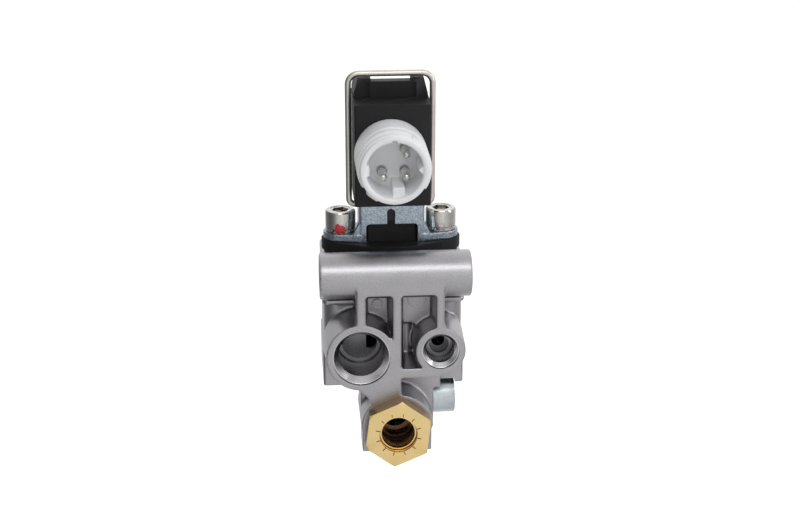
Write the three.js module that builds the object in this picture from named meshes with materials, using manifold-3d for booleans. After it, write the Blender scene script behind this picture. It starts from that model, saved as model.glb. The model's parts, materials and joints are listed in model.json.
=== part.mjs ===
// Pilot-operated solenoid valve for a vehicle's compressed-air system.
//
// Frame: +Z up, millimetres. The origin is the centre of the body's rear
// mounting face. The ports and the connector face -Y. The pistons, the
// armature and the coil share one vertical axis at x = 0, y = VALVE_Y.

import * as THREE from 'three';
import { mergeVertices } from 'three/addons/utils/BufferGeometryUtils.js';
import Module from 'manifold-3d';

const wasm = await Module();
wasm.setup();

// ---- Driving dimensions ------------------------------------------------

const GAP = 0.05;                  // between faces that are screwed together

// The die-cast body
const FRONT_Y = -42;               // plane of the ports and ribs
const POCKET_Y = -31.5;            // floor of the pockets between the ribs
const OUTER_Y = -27.5;             // front of the body outside the ribs
const TOP_Y = -28.2;               // front of the wider top of the body
const LEDGE_Y = -29.5;             // front of the strip along its lower edge
const LEDGE = [9.9, 11.6];
const BODY_HALF_X = 22.8;
const WIDE_HALF_X = 23.2;          // half width of the top and of the foot
const BODY_TOP = 23;
const FOOT_TOP = -6;
const BODY_BOTTOM = -19.5;
const TOWER_BOTTOM = -39.5;        // lower end of the inlet tower
const TOWER_RADIUS = 9.8;
const VALVE_Y = -15;               // axis of the piston, armature and screws

// The horizontal boss that a through bolt passes
const CROSS = { y: -34.5, z: 22, radius: 7.5, halfLength: 24.25, bore: 4.5 };

// The ports: centre, boss radius at the front and at its root, end of the bore
const LARGE_PORT = { x: -11.3, z: -3.8, boss: 11.3, root: 12.1, end: -20 };
const SMALL_PORT = { x: 14.2, z: -2.1, boss: 8.1, root: 8.7, end: -14 };
const INLET = { x: 0.2, z: -28.8, boss: 11.8 };

// Ribs of the front plate: [left edge, right edge]
const LEFT_RIB = [-12.7, -9.9];
const CENTRE_RIB = [-1.2, 1.5];
const RIGHT_RIB = [12.8, 15.3];
const PLATE_LOW_Z = 17.2;          // lower edge of the plate under the boss
const WEB_LOW_Z = -11.1;           // strip between centre rib and small port
const WEB_TOP_Z = -8;

// Bores of the body along the valve axis
const PISTON_BORE = 10;
const PISTON_RADIUS = 9.9;
const SEAT_TOP_Z = -10.5;
const SEAT_LOW_Z = -12;
const SEAT_RADIUS = 4.4;
const SUPPLY_RADIUS = 6.5;

// Fasteners
const SCREW_X = 16.5;              // M6 screws of the pilot head
const SCREW_HOLE = 3.0;
const HEAD_Z = 32.2;               // underside of the screw heads
const REAR_HOLE = { x: 17, z: -5, radius: 3.4, depth: 12 };

// The pilot head
const HEAD_BOTTOM = 23.5;
const SEAM_Z = 25;                 // between the base plate and the housing
const FLANGE_TOP = 28.55;
const FLANGE_HALF_X = 22.85;
const PILOT_HALF_X = 8;
const PILOT_HALF_Y = 5.4;
const PILOT_TOP = 38;

// The retaining bracket, a hat with two wings
const BRACKET_HALF_X = 10.65;
const BRACKET_HALF_Y = 7;
const BRACKET_WALL = 2.3;          // at the sides
const BRACKET_FACE = 1.4;          // at the front and back
const BRACKET_TOP = 42.3;
const BRACKET_ROOF = 40.2;
const WING_TOP = 31;
const WINDOW_TOP = 34.65;
const SLOT = { x: -0.5, half: 1.13, top: 38.6 };
const GUSSET = { out: 2, up: 4, depth: 2.6 };

// The coil block
const COIL_HALF_X = 12.2;
const COIL_HALF_Y = 12;
const COIL_BOTTOM = 42.4;
const COIL_TOP = 75.6;
const BRIDGE_TOP = 81.9;
const BRIDGE_HALF_Y = 2;
const COIL_CAVITY = 10.9;

// The electrical connector
const PLUG_X = -0.8;
const PLUG_Z = 59.6;
const PLUG_RADIUS = 11.6;
const PLUG_CAVITY = 8.85;
const PLUG_RIM_Y = -46;
const PLUG_FLOOR_Y = -32;
const PIN_CENTRE_X = -0.4;
const PIN_OFFSET = 3.6;
const PIN_RADIUS = 1.25;
const PIN_TIP_Y = -41;

// The wire bail
const WIRE = 1;
const BAIL_HALF_X = 13.6;
const BAIL_PIVOT_Z = 39.7;
const BAIL_TOP = 83.1;
const BAIL_CORNER = 3.5;
const BAIL_FOOT_CORNER = 2;
const BAIL_END_X = 8.8;

// The push-in fitting and the side plug
const HEX_ACROSS_FLATS = 20;
const HEX_FRONT_Y = -47;
const HEX_TURN = -6.7;             // degrees from point-up
const TUBE_RADIUS = 6.15;
const SIDE_PLUG = { y: -24.5, z: -25.1, radius: 5.95, from: 13.1, to: 20.4 };
const SADDLE = [-11.2, 12.95];     // width of the casting behind the inlet

// ---- Geometry helpers --------------------------------------------------
//
// Every primitive is drawn along its own Z and then turned, so that an axis
// of 'x' maps (u, v, w) to (y, z, x), 'y' to (x, z, y) and 'z' to (x, y, z).

const X = new THREE.Vector3(1, 0, 0);
const Y = new THREE.Vector3(0, 1, 0);
const Z = new THREE.Vector3(0, 0, 1);
const TURN = {
  x: new THREE.Matrix4().makeBasis(Y, Z, X),
  y: new THREE.Matrix4().makeBasis(X, Z, Y),
  z: new THREE.Matrix4().makeBasis(X, Y, Z),
};

function facetsFor(radius) {
  if (radius < 2) return 10;
  if (radius < 5) return 16;
  return 32;
}

function signedVolume(positions, triangles) {
  const corner = (index) => new THREE.Vector3().fromArray(positions, 3 * index);
  let volume = 0;
  for (let i = 0; i < triangles.length; i += 3) {
    const a = corner(triangles[i]);
    const b = corner(triangles[i + 1]);
    const c = corner(triangles[i + 2]);
    volume += a.dot(b.cross(c)) / 6;
  }
  return volume;
}

// Turns a closed three.js geometry into a solid whose faces point out.
function solidFrom(geometry) {
  const bare = geometry.clone();
  bare.deleteAttribute('normal');
  bare.deleteAttribute('uv');
  const merged = mergeVertices(bare, 1e-4);
  const positions = merged.attributes.position.array;
  const index = merged.index.array;
  const triangles = [];
  for (let i = 0; i < index.length; i += 3) {
    const [a, b, c] = [index[i], index[i + 1], index[i + 2]];
    if (a !== b && b !== c && a !== c) triangles.push(a, b, c);
  }
  if (signedVolume(positions, triangles) < 0) triangles.reverse();
  return new wasm.Manifold(new wasm.Mesh({
    numProp: 3,
    vertProperties: new Float32Array(positions),
    triVerts: new Uint32Array(triangles),
  }));
}

function geometryFrom(solid) {
  const mesh = solid.getMesh();
  const geometry = new THREE.BufferGeometry();
  geometry.setAttribute('position', new THREE.BufferAttribute(mesh.vertProperties, 3));
  geometry.setIndex(new THREE.BufferAttribute(mesh.triVerts, 1));
  geometry.computeVertexNormals();
  return geometry;
}

function box([x0, x1], [y0, y1], [z0, z1]) {
  const geometry = new THREE.BoxGeometry(x1 - x0, y1 - y0, z1 - z0);
  geometry.translate((x0 + x1) / 2, (y0 + y1) / 2, (z0 + z1) / 2);
  return solidFrom(geometry);
}

// A cylinder or cone along an axis, centred on (u, v) in the plane across it.
function rod(axis, [u, v], [from, to], radius, endRadius = radius) {
  const facets = facetsFor(Math.max(radius, endRadius));
  const geometry = new THREE.CylinderGeometry(endRadius, radius, to - from, facets);
  geometry.rotateX(Math.PI / 2);
  geometry.translate(u, v, (from + to) / 2);
  geometry.applyMatrix4(TURN[axis]);
  return solidFrom(geometry);
}

// A turned solid: the profile is a closed list of [radius, place along the axis].
function turned(axis, [u, v], profile) {
  const points = profile.map(([radius, place]) => new THREE.Vector2(radius, place));
  points.push(points[0].clone());
  const widest = Math.max(...profile.map(([radius]) => radius));
  const geometry = new THREE.LatheGeometry(points, facetsFor(widest));
  geometry.rotateX(Math.PI / 2);
  geometry.translate(u, v, 0);
  geometry.applyMatrix4(TURN[axis]);
  return solidFrom(geometry);
}

// A round solid in steps of [radius, place], closed along its axis.
function stepped(axis, centre, steps) {
  const first = [0, steps[0][1]];
  const last = [0, steps[steps.length - 1][1]];
  return turned(axis, centre, [first, ...steps, last]);
}

function ring(axis, centre, [from, to], inner, outer) {
  return turned(axis, centre, [[inner, from], [outer, from], [outer, to], [inner, to]]);
}

function prism(axis, shape, [from, to]) {
  const geometry = new THREE.ExtrudeGeometry(shape, {
    depth: to - from,
    bevelEnabled: false,
    curveSegments: 8,
  });
  geometry.translate(0, 0, from);
  geometry.applyMatrix4(TURN[axis]);
  return solidFrom(geometry);
}

function outline(points) {
  return new THREE.Shape(points.map(([u, v]) => new THREE.Vector2(u, v)));
}

// A rectangle whose low-v and high-v corners have their own radii.
function roundedRectangle([u0, u1], [v0, v1], lowRadius, highRadius = lowRadius) {
  const shape = new THREE.Shape();
  const half = Math.PI / 2;
  shape.moveTo(u0 + lowRadius, v0);
  shape.lineTo(u1 - lowRadius, v0);
  shape.absarc(u1 - lowRadius, v0 + lowRadius, lowRadius, -half, 0);
  shape.lineTo(u1, v1 - highRadius);
  shape.absarc(u1 - highRadius, v1 - highRadius, highRadius, 0, half);
  shape.lineTo(u0 + highRadius, v1);
  shape.absarc(u0 + highRadius, v1 - highRadius, highRadius, half, 2 * half);
  shape.lineTo(u0, v0 + lowRadius);
  shape.absarc(u0 + lowRadius, v0 + lowRadius, lowRadius, 2 * half, 3 * half);
  return shape;
}

// The outline that the pilot head and the bracket's wings share: a lozenge
// with a round end about each screw and a flat front and back.
function lozenge(halfX, halfY, flatHalfX) {
  const endRadius = halfX - SCREW_X;
  const shape = new THREE.Shape();
  const reach = SCREW_X - flatHalfX;
  const rise = halfY - endRadius;
  const slope = Math.atan2(rise, reach);
  const tangent = Math.PI / 2 - slope;
  shape.moveTo(-flatHalfX, VALVE_Y - halfY);
  shape.lineTo(flatHalfX, VALVE_Y - halfY);
  shape.absarc(SCREW_X, VALVE_Y, endRadius, -tangent, tangent);
  shape.lineTo(flatHalfX, VALVE_Y + halfY);
  shape.lineTo(-flatHalfX, VALVE_Y + halfY);
  shape.absarc(-SCREW_X, VALVE_Y, endRadius, Math.PI - tangent, Math.PI + tangent);
  return shape;
}

function joined(first, ...others) {
  return others.reduce((solid, other) => solid.add(other), first);
}

function cut(solid, ...tools) {
  return tools.reduce((rest, tool) => rest.subtract(tool), solid);
}

// A closed round bar along a path.
function sweep(path, radius, sides, steps) {
  const corners = [];
  for (let i = 0; i < sides; i += 1) {
    const angle = (2 * Math.PI * i) / sides;
    corners.push([radius * Math.cos(angle), radius * Math.sin(angle)]);
  }
  const options = { steps, extrudePath: path, bevelEnabled: false };
  return solidFrom(new THREE.ExtrudeGeometry(outline(corners), options));
}

// A compression spring's centre line.
class Helix extends THREE.Curve {
  constructor(radius, low, high, turns) {
    super();
    Object.assign(this, { radius, low, high, turns });
  }

  getPoint(t, target = new THREE.Vector3()) {
    const angle = 2 * Math.PI * this.turns * t;
    const height = this.low + (this.high - this.low) * t;
    const x = this.radius * Math.cos(angle);
    return target.set(x, VALVE_Y + this.radius * Math.sin(angle), height);
  }
}

function spring(radius, wire, [low, high], turns) {
  const path = new Helix(radius, low + wire, high - wire, turns);
  return sweep(path, wire, 6, Math.round(turns * 11));
}

// ---- Die-cast body -----------------------------------------------------

function bodyBlocks() {
  const rear = 0;
  const wide = [-WIDE_HALF_X, WIDE_HALF_X];
  const ledge = roundedRectangle(wide, [LEDGE_Y, rear], 1.5);
  const top = roundedRectangle(wide, [TOP_Y, rear], 1.5);
  const main = roundedRectangle([-BODY_HALF_X, BODY_HALF_X], [OUTER_Y, rear], 5, 1.5);
  const foot = roundedRectangle(wide, [OUTER_Y, rear], 0.8, 1.5);
  const core = [LEFT_RIB[0], RIGHT_RIB[1]];
  return joined(
    prism('z', ledge, LEDGE),
    prism('z', top, [LEDGE[1] - 1, BODY_TOP]),
    prism('z', main, [FOOT_TOP - 1, LEDGE[0] + 1]),
    prism('z', foot, [BODY_BOTTOM, FOOT_TOP]),
    box(core, [POCKET_Y, OUTER_Y + 1], [BODY_BOTTOM, BODY_TOP]),
    rod('z', [0, VALVE_Y], [TOWER_BOTTOM, BODY_BOTTOM + 1], TOWER_RADIUS),
    box(SADDLE, [POCKET_Y, VALVE_Y - 2], [-32, BODY_BOTTOM + 1]),
  );
}

// The front plate, its ribs and the webs that join the port bosses.
function frontRibs() {
  const depth = [FRONT_Y, POCKET_Y + 1];
  const ribTop = CROSS.z;
  const inletWeb = outline([
    [-14, -8], [CENTRE_RIB[1], -8], [CENTRE_RIB[1], -28], [-8.3, -28],
    [-8.3, -20.5], [-8.8, -18], [-10.4, -15.9],
  ]);
  return joined(
    box([LEFT_RIB[0], RIGHT_RIB[1]], depth, [PLATE_LOW_Z, CROSS.z]),
    box(LEFT_RIB, depth, [LARGE_PORT.z, ribTop]),
    box(CENTRE_RIB, depth, [INLET.z, ribTop]),
    box(RIGHT_RIB, depth, [SMALL_PORT.z, ribTop]),
    box([0, SMALL_PORT.x], depth, [WEB_LOW_Z, WEB_TOP_Z]),
    prism('y', inletWeb, depth),
  );
}

function bosses() {
  const { y, z, radius, halfLength } = CROSS;
  const chamfer = 0.6;
  const cross = stepped('x', [y, z], [
    [radius - chamfer, -halfLength], [radius, -halfLength + chamfer],
    [radius, halfLength - chamfer], [radius - chamfer, halfLength],
  ]);
  const inletSides = [INLET.x - 11.4, INLET.x + 11.2];
  return joined(
    cross,
    ...[LARGE_PORT, SMALL_PORT].map((port) => (
      rod('y', [port.x, port.z], [FRONT_Y, OUTER_Y + 1], port.boss, port.root)
    )),
    rod('y', [INLET.x, INLET.z], [FRONT_Y, VALVE_Y - 4], INLET.boss - 0.8),
    rod('y', [INLET.x, INLET.z], [FRONT_Y, POCKET_Y + 1], INLET.boss)
      .subtract(box([-20, 20], [FRONT_Y - 1, OUTER_Y], [-60, INLET.z])),
    box(inletSides, [FRONT_Y, POCKET_Y], [-37, INLET.z]),
  );
}

// A deeper recess low in the right pocket, with a half-round column in it.
function pocketRecess() {
  const column = rod('z', [4.1, -28.4], [WEB_LOW_Z, 4], 2.4);
  return box([CENTRE_RIB[1] + 0.1, 6.6], [POCKET_Y - 1, -28.6], [WEB_TOP_Z, 3.8])
    .subtract(column);
}

function portBores() {
  const large = stepped('y', [LARGE_PORT.x, LARGE_PORT.z], [
    [9.25, FRONT_Y - 1], [9.25, FRONT_Y], [8.9, -41.1], [7.35, -39], [7.35, -27.7],
    [5.8, -27.7], [5.8, LARGE_PORT.end],
  ]);
  const small = stepped('y', [SMALL_PORT.x, SMALL_PORT.z], [
    [6.05, FRONT_Y - 1], [6.05, FRONT_Y], [5.7, -41.2], [4.65, -40], [4.65, -35.3],
    [3.2, -35.3], [3.2, -31.7], [2.2, -31.7], [2.2, SMALL_PORT.end],
  ]);
  const inlet = stepped('y', [INLET.x, INLET.z], [
    [9.4, FRONT_Y - 1], [9.4, FRONT_Y + 0.9], [8.4, FRONT_Y + 0.9], [8.4, -31], [4.4, -31],
    [4.4, VALVE_Y],
  ]);
  const smallCross = rod('x', [-16, SMALL_PORT.z], [6, SMALL_PORT.x], 2.2);
  return [large, small, inlet, smallCross];
}

function valveBores() {
  return stepped('z', [0, VALVE_Y], [
    [PISTON_BORE, BODY_TOP + 1], [PISTON_BORE, SEAT_TOP_Z], [SEAT_RADIUS, SEAT_TOP_Z],
    [SEAT_RADIUS, SEAT_LOW_Z], [SUPPLY_RADIUS, SEAT_LOW_Z], [SUPPLY_RADIUS, TOWER_BOTTOM - 1],
  ]);
}

function fastenerHoles() {
  const holes = [];
  for (const side of [-1, 1]) {
    holes.push(rod('z', [side * SCREW_X, VALVE_Y], [8, BODY_TOP + 1], SCREW_HOLE));
    const { x, z, radius, depth } = REAR_HOLE;
    holes.push(rod('y', [side * x, z], [-depth, 1], radius));
  }
  return holes;
}

// The side plug's hole, the relief above its head and the circlip's groove.
function plugBores() {
  const { y, z, from } = SIDE_PLUG;
  return [
    box([13, 20.9], [OUTER_Y - 1, -17.5], [BODY_BOTTOM - 1, -16.8]),
    rod('x', [y, z], [2, from], 3.4),
    rod('x', [y, z], [from - 1.1, from + 1], 5.4),
    ring('z', [0, VALVE_Y], [-39, -38.3], SUPPLY_RADIUS - 1, 7.3),
  ];
}

function valveBody() {
  const casting = joined(bodyBlocks(), frontRibs(), bosses());
  const crossBore = rod('x', [CROSS.y, CROSS.z], [-30, 30], CROSS.bore);
  return cut(
    casting, crossBore, pocketRecess(), ...portBores(), valveBores(),
    ...fastenerHoles(), ...plugBores(),
  );
}

// ---- Push-in fitting and plugs -----------------------------------------

function hexagon(acrossFlats, [u, v], turn) {
  const radius = acrossFlats / Math.sqrt(3);
  const corners = [];
  for (let i = 0; i < 6; i += 1) {
    const angle = THREE.MathUtils.degToRad(90 + turn + 60 * i);
    corners.push([u + radius * Math.cos(angle), v + radius * Math.sin(angle)]);
  }
  return outline(corners);
}

function fittingBody() {
  const centre = [INLET.x, INLET.z];
  const hex = prism('y', hexagon(HEX_ACROSS_FLATS, centre, HEX_TURN), [HEX_FRONT_Y, FRONT_Y - GAP]);
  const corners = HEX_ACROSS_FLATS / Math.sqrt(3);
  const chamfer = stepped('y', centre, [
    [corners - 1.1, HEX_FRONT_Y], [corners + 0.6, HEX_FRONT_Y + 1], [corners + 0.6, FRONT_Y],
  ]);
  const shank = rod('y', centre, [FRONT_Y - 1, -31.1], 8.25);
  const passage = stepped('y', centre, [
    [TUBE_RADIUS, HEX_FRONT_Y - 1], [TUBE_RADIUS, -45.2], [7.25, -45.2], [7.25, -36.5],
    [5, -36.5], [5, -30],
  ]);
  return cut(joined(hex.intersect(chamfer), shank), passage);
}

function fittingCollet() {
  const profile = [
    [5.55, -46.4], [6, -46.4], [6, -44.9], [7, -44.9], [7, -42.5], [6.4, -42.5], [6.4, -40],
    [5.7, -40], [5.7, -44],
  ];
  return turned('y', [INLET.x, INLET.z], profile);
}

function tubeSeal() {
  return ring('y', [INLET.x, INLET.z], [-38.6, -36.6], 5.6, 7.15);
}

function fittingSeal() {
  return ring('y', [INLET.x, INLET.z], [FRONT_Y + 0.05, FRONT_Y + 0.85], 8.45, 9.3);
}

function sidePlug() {
  const { y, z, radius, from, to } = SIDE_PLUG;
  const head = stepped('x', [y, z], [
    [radius, from], [radius, to - 0.7], [radius - 0.7, to],
  ]);
  const shank = rod('x', [y, z], [from - 7, from + 0.5], 3.3);
  const key = prism('x', hexagon(5, [y, z], 0), [to - 3.5, to + 1]);
  return joined(head, shank).subtract(key);
}

function plugSeal() {
  const { y, z, from } = SIDE_PLUG;
  return ring('x', [y, z], [from - 1.05, from - GAP], 3.5, 5.3);
}

// ---- Relay piston, inlet valve and bottom cap --------------------------

function relayPiston() {
  return stepped('z', [0, VALVE_Y], [
    [PISTON_RADIUS, 16], [PISTON_RADIUS, 14.4], [8.4, 14.4], [8.4, 12], [PISTON_RADIUS, 12],
    [PISTON_RADIUS, 10.2], [3, 10.2], [3, -4.7],
  ]);
}

function valvePoppet() {
  return stepped('z', [0, VALVE_Y], [
    [2.2, -5], [2.2, -12.4], [5.6, -12.4], [5.6, -15], [2.4, -15], [2.4, -21],
  ]);
}

function bottomCap() {
  const drum = stepped('z', [0, VALVE_Y], [
    [6.4, -34], [6.4, -34.8], [5.2, -34.8], [5.2, -36.7], [6.4, -36.7], [6.4, -38.2],
  ]);
  return drum.subtract(rod('z', [0, VALVE_Y], [-35.4, -33], 4));
}

function circlip() {
  const gap = box([-1.6, 1.6], [VALVE_Y - 9, VALVE_Y], [-40, -38]);
  return ring('z', [0, VALVE_Y], [-38.9, -38.4], 5.2, 7.1).subtract(gap);
}

// ---- Pilot head --------------------------------------------------------

function screwHoles(radius, [low, high]) {
  return [-1, 1].map((side) => rod('z', [side * SCREW_X, VALVE_Y], [low, high], radius));
}

function flangeGasket() {
  const plate = prism('z', lozenge(FLANGE_HALF_X - 0.9, 11.2, 6), [BODY_TOP + GAP, HEAD_BOTTOM]);
  const opening = rod('z', [0, VALVE_Y], [BODY_TOP - 1, HEAD_BOTTOM + 1], 9);
  return cut(plate, opening, ...screwHoles(3.3, [BODY_TOP - 1, HEAD_BOTTOM + 1]));
}

function pilotBase() {
  const plate = prism('z', lozenge(FLANGE_HALF_X - 0.7, 11.4, 6), [HEAD_BOTTOM + GAP, SEAM_Z]);
  const vent = rod('z', [4, VALVE_Y], [HEAD_BOTTOM - 1, SEAM_Z + 1], 1.2);
  return cut(plate, vent, ...screwHoles(3.3, [HEAD_BOTTOM - 1, SEAM_Z + 1]));
}

function pilotHousing() {
  const flange = prism('z', lozenge(FLANGE_HALF_X, 12.1, 6), [SEAM_Z + GAP, FLANGE_TOP]);
  const block = box(
    [-PILOT_HALF_X, PILOT_HALF_X],
    [VALVE_Y - PILOT_HALF_Y, VALVE_Y + PILOT_HALF_Y],
    [FLANGE_TOP - 1, PILOT_TOP],
  );
  const chamber = stepped('z', [0, VALVE_Y], [
    [3.6, PILOT_TOP + 1], [3.6, 33], [1.9, 33], [1.9, SEAM_Z - 1],
  ]);
  return cut(joined(flange, block), chamber, ...screwHoles(3.3, [SEAM_Z - 1, FLANGE_TOP + 1]));
}

function pilotNozzle() {
  const outside = stepped('z', [0, VALVE_Y], [[3.5, 33.1], [3.5, 35.5], [2, 36.5], [1.4, 39.6]]);
  return outside.subtract(rod('z', [0, VALVE_Y], [30, 45], 0.6));
}

function pilotSeal() {
  return ring('z', [0, VALVE_Y], [37.1, 37.9], 2.6, 3.5);
}

// ---- Bracket, screws and bail ------------------------------------------

// A thin web in the front corner between a leg and its wing.
function gusset(side) {
  const x = side * BRACKET_HALF_X;
  const shape = outline([
    [x - side, WING_TOP - 1], [x + side * GUSSET.out, WING_TOP - 1],
    [x + side * GUSSET.out, WING_TOP], [x, WING_TOP + GUSSET.up], [x - side, WING_TOP + GUSSET.up],
  ]);
  const front = VALVE_Y - BRACKET_HALF_Y + 0.3;
  return prism('y', shape, [front, front + GUSSET.depth]);
}

function retainingBracket() {
  const x = BRACKET_HALF_X;
  const y = BRACKET_HALF_Y;
  const shell = prism('z', roundedRectangle([-x, x], [VALVE_Y - y, VALVE_Y + y], 1), [
    FLANGE_TOP + GAP, BRACKET_TOP,
  ]);
  const wings = prism('z', lozenge(22.2, y, x), [FLANGE_TOP + GAP, WING_TOP]);
  const insideX = [BRACKET_WALL - x, x - BRACKET_WALL];
  const insideY = [VALVE_Y - y + BRACKET_FACE, VALVE_Y + y - BRACKET_FACE];
  const through = [VALVE_Y - 20, VALVE_Y + 20];
  const low = FLANGE_TOP - 1;
  const frontOnly = [VALVE_Y - 20, VALVE_Y - 5];
  return cut(
    joined(shell, wings, gusset(-1), gusset(1)),
    box(insideX, insideY, [low, BRACKET_ROOF]),
    box(insideX, through, [low, WINDOW_TOP]),
    box([SLOT.x - SLOT.half, SLOT.x + SLOT.half], frontOnly, [low, SLOT.top]),
    rod('y', [SLOT.x, SLOT.top], frontOnly, SLOT.half),
    rod('z', [0, VALVE_Y], [BRACKET_ROOF - 1, BRACKET_TOP + 1], 5.5),
    rod('x', [VALVE_Y, BAIL_PIVOT_Z], [-20, 20], WIRE + 0.1),
    ...screwHoles(3.3, [low, WING_TOP + 1]),
  );
}

function washer(side) {
  return ring('z', [side * SCREW_X, VALVE_Y], [WING_TOP + GAP, HEAD_Z - GAP], 3.2, 4.95);
}

function capScrew(side) {
  const centre = [side * SCREW_X, VALVE_Y];
  const body = stepped('z', centre, [
    [2.7, 10], [2.9, 10.4], [2.9, HEAD_Z], [5, HEAD_Z], [5, HEAD_Z + 5.4], [4.5, HEAD_Z + 5.9],
  ]);
  return body.subtract(prism('z', hexagon(5, centre, 20 * side), [HEAD_Z + 3, HEAD_Z + 7]));
}

function tamperMark() {
  const mark = new THREE.SphereGeometry(1, 10, 8);
  mark.scale(1.9, 0.75, 1.7);
  mark.translate(-SCREW_X + 0.4, VALVE_Y - 5.85, HEAD_Z + 1);
  return solidFrom(mark);
}

// The bail's centre line: foot, leg, crossbar, leg and foot, with round corners.
function bailPath() {
  const at = (x, z) => new THREE.Vector3(x, VALVE_Y, z);
  const path = new THREE.CurvePath();
  const line = (a, b) => path.add(new THREE.LineCurve3(a, b));
  const corner = (a, b, c) => path.add(new THREE.QuadraticBezierCurve3(a, b, c));
  const side = BAIL_HALF_X;
  const low = BAIL_PIVOT_Z;
  const high = BAIL_TOP;
  const foot = BAIL_FOOT_CORNER;
  const bend = BAIL_CORNER;
  line(at(-BAIL_END_X, low), at(foot - side, low));
  corner(at(foot - side, low), at(-side, low), at(-side, low + foot));
  line(at(-side, low + foot), at(-side, high - bend));
  corner(at(-side, high - bend), at(-side, high), at(bend - side, high));
  line(at(bend - side, high), at(side - bend, high));
  corner(at(side - bend, high), at(side, high), at(side, high - bend));
  line(at(side, high - bend), at(side, low + foot));
  corner(at(side, low + foot), at(side, low), at(side - foot, low));
  line(at(side - foot, low), at(BAIL_END_X, low));
  return path;
}

function bailClip() {
  return sweep(bailPath(), WIRE, 12, 72);
}

// ---- Solenoid ----------------------------------------------------------

function guideTube() {
  return turned('z', [0, VALVE_Y], [
    [4.35, PILOT_TOP + GAP], [5.45, PILOT_TOP + GAP], [5.45, 39.3], [4.9, 39.3], [4.9, 73],
    [0, 73], [0, 72.4], [4.35, 72.4],
  ]);
}

function fixedCore() {
  const core = rod('z', [0, VALVE_Y], [58.2, 72.3], 4.25);
  return core.subtract(rod('z', [0, VALVE_Y], [57, 62], 2));
}

function armature() {
  const plunger = stepped('z', [0, VALVE_Y], [[4.2, 41.6], [4.2, 57]]);
  return cut(
    plunger,
    rod('z', [0, VALVE_Y], [53, 58], 2),
    rod('z', [0, VALVE_Y], [41, 43], 2.6),
  );
}

function armatureSeal() {
  return rod('z', [0, VALVE_Y], [39.9, 42.95], 2.55);
}

function tubeRing() {
  return ring('z', [0, VALVE_Y], [39.7, 41.3], 5, 5.4);
}

function coilBobbin() {
  return turned('z', [0, VALVE_Y], [
    [5, 44.2], [9.4, 44.2], [9.4, 45.4], [6, 45.4], [6, 67.4], [9.4, 67.4], [9.4, 68.6], [5, 68.6],
  ]);
}

function coilWinding() {
  return ring('z', [0, VALVE_Y], [45.45, 67.35], 6.05, 9.1);
}

function coilYoke() {
  return turned('z', [0, VALVE_Y], [
    [5, 42.6], [10.8, 42.6], [10.8, 70.8], [5, 70.8], [5, 68.7], [9.5, 68.7], [9.5, 44.1], [5, 44.1],
  ]);
}

// The moulded block: a square coil case with a bridge that carries the bail.
function coilHousing() {
  const low = [VALVE_Y - COIL_HALF_Y, VALVE_Y + COIL_HALF_Y];
  const block = prism('z', roundedRectangle([-COIL_HALF_X, COIL_HALF_X], low, 0.8), [
    COIL_BOTTOM, COIL_TOP,
  ]);
  const middle = box([-8.2, 8.2], [VALVE_Y - 1.6, VALVE_Y + 1.6], [COIL_TOP - 1, BRIDGE_TOP - 1]);
  const front = VALVE_Y - BRIDGE_HALF_Y;
  const posts = [-1, 1].map((side) => {
    const shape = outline([
      [side * 8.2, COIL_TOP - 1], [side * 11.9, COIL_TOP - 1], [side * 11.9, COIL_TOP + 1.2],
      [side * 10.6, BRIDGE_TOP], [side * 8.2, BRIDGE_TOP],
    ]);
    return prism('y', shape, [front, VALVE_Y + BRIDGE_HALF_Y]);
  });
  const lip = box([-6.75, 6.75], [front, VALVE_Y + BRIDGE_HALF_Y], [COIL_TOP - 1, BRIDGE_TOP - 1]);
  const cavity = stepped('z', [0, VALVE_Y], [[COIL_CAVITY, COIL_BOTTOM - 1], [COIL_CAVITY, 73.3]]);
  return joined(block, middle, lip, ...posts).subtract(cavity);
}

// ---- Connector ---------------------------------------------------------

function pinPlaces() {
  return [[-1, -1], [1, -1], [1, 1]].map(([u, v]) => [
    PIN_CENTRE_X + u * PIN_OFFSET, PLUG_Z + v * PIN_OFFSET,
  ]);
}

// The raised band of the bayonet lock, left out over the lower part of the rim.
function bayonetRamps() {
  const place = [PLUG_RIM_Y + 1.2, PLUG_RIM_Y + 5.6];
  const band = ring('y', [PLUG_X, PLUG_Z], place, PLUG_RADIUS - 2, PLUG_RADIUS);
  const low = outline([
    [PLUG_X - 8.5, PLUG_Z - 7.5], [PLUG_X + 11, PLUG_Z - 3.5], [PLUG_X + 14, PLUG_Z - 16],
    [PLUG_X - 12, PLUG_Z - 16],
  ]);
  return band.subtract(prism('y', low, [PLUG_RIM_Y, PLUG_RIM_Y + 8]));
}

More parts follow.
